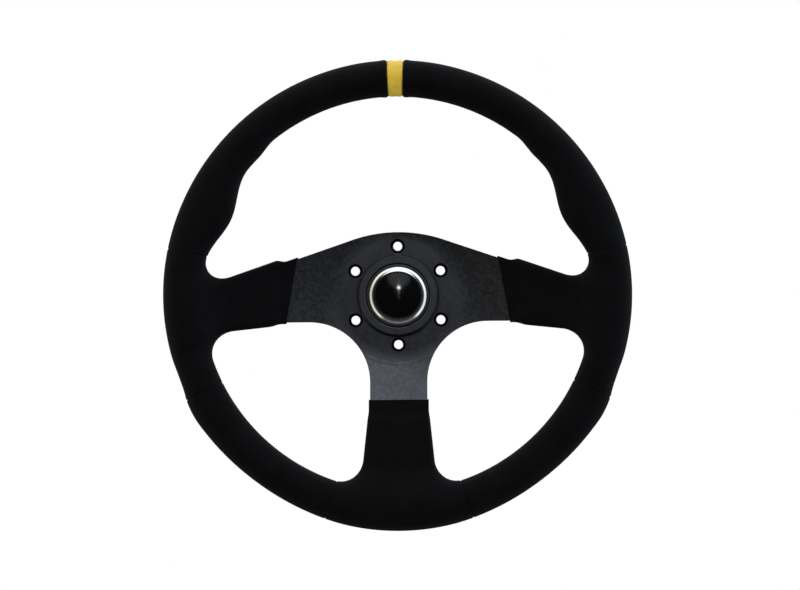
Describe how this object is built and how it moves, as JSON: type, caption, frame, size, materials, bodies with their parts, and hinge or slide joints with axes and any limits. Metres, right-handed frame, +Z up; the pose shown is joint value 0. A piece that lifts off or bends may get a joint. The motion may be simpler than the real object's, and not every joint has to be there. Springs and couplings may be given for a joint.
{
  "type": "racing steering wheel",
  "caption": "Three-spoke dished racing steering wheel with suede-covered rim, thumb rests, centre marker, push horn button and a bolt circle for a quick release hub.",
  "frame": {"origin": "centre of the hub bolt circle on the rear (mounting) face of the spoke plate", "axes": "+Z up the wheel to the centre marker, +X to the driver's right, +Y along the steering axis away from the driver, so the driver's side faces -Y"},
  "size_m": [0.33, 0.0647, 0.3299],
  "materials": {
    "plate": "black anodised, satin, fine brushed grain",
    "hoop": "mill finish flat bar",
    "rivet": "satin",
    "foam": "moulded integral-skin polyurethane foam",
    "suede": "black microfibre suede, short brushed nap",
    "marker": "yellow smooth leather",
    "gasket": "matt",
    "housing": "black anodised, satin",
    "spring_steel": "bright drawn wire",
    "base": "moulded black nylon, matt",
    "screw": "zinc plated",
    "brass": "stamped, slightly dull",
    "cap": "moulded black plastic, fine spark texture",
    "ring": "polished silver",
    "dome": "high gloss black"
  },
  "bodies": {
    "wheel": {"spoke_plate": "plate", "rim_hoop": "hoop", "hoop_rivets": "rivet", "rim_foam": "foam", "suede_upper_left": "suede", "suede_upper_right": "suede", "suede_side_left": "suede", "suede_side_right": "suede", "suede_lower_left": "suede", "suede_lower_right": "suede", "suede_foot": "suede", "centre_marker": "marker", "bezel_gasket": "gasket", "horn_housing": "housing", "retaining_ring": "spring_steel", "base_plate": "base", "base_screws": "screw", "fixed_contact": "brass", "spring_seat": "brass", "return_spring": "spring_steel", "signal_terminal": "brass", "earth_terminal": "brass", "terminal_rivets": "brass"},
    "horn_cap": {"push_cap": "cap", "cap_ring": "ring", "cap_dome": "dome", "moving_contact": "brass", "contact_screws": "screw"}
  },
  "joints": [
    {"name": "horn_press", "type": "slide", "parent": "wheel", "child": "horn_cap", "axis": [0, 1, 0], "range_m": [0, 0.0017], "stiffness_N_per_m": 2500, "deforming": ["return_spring"]}
  ]
}
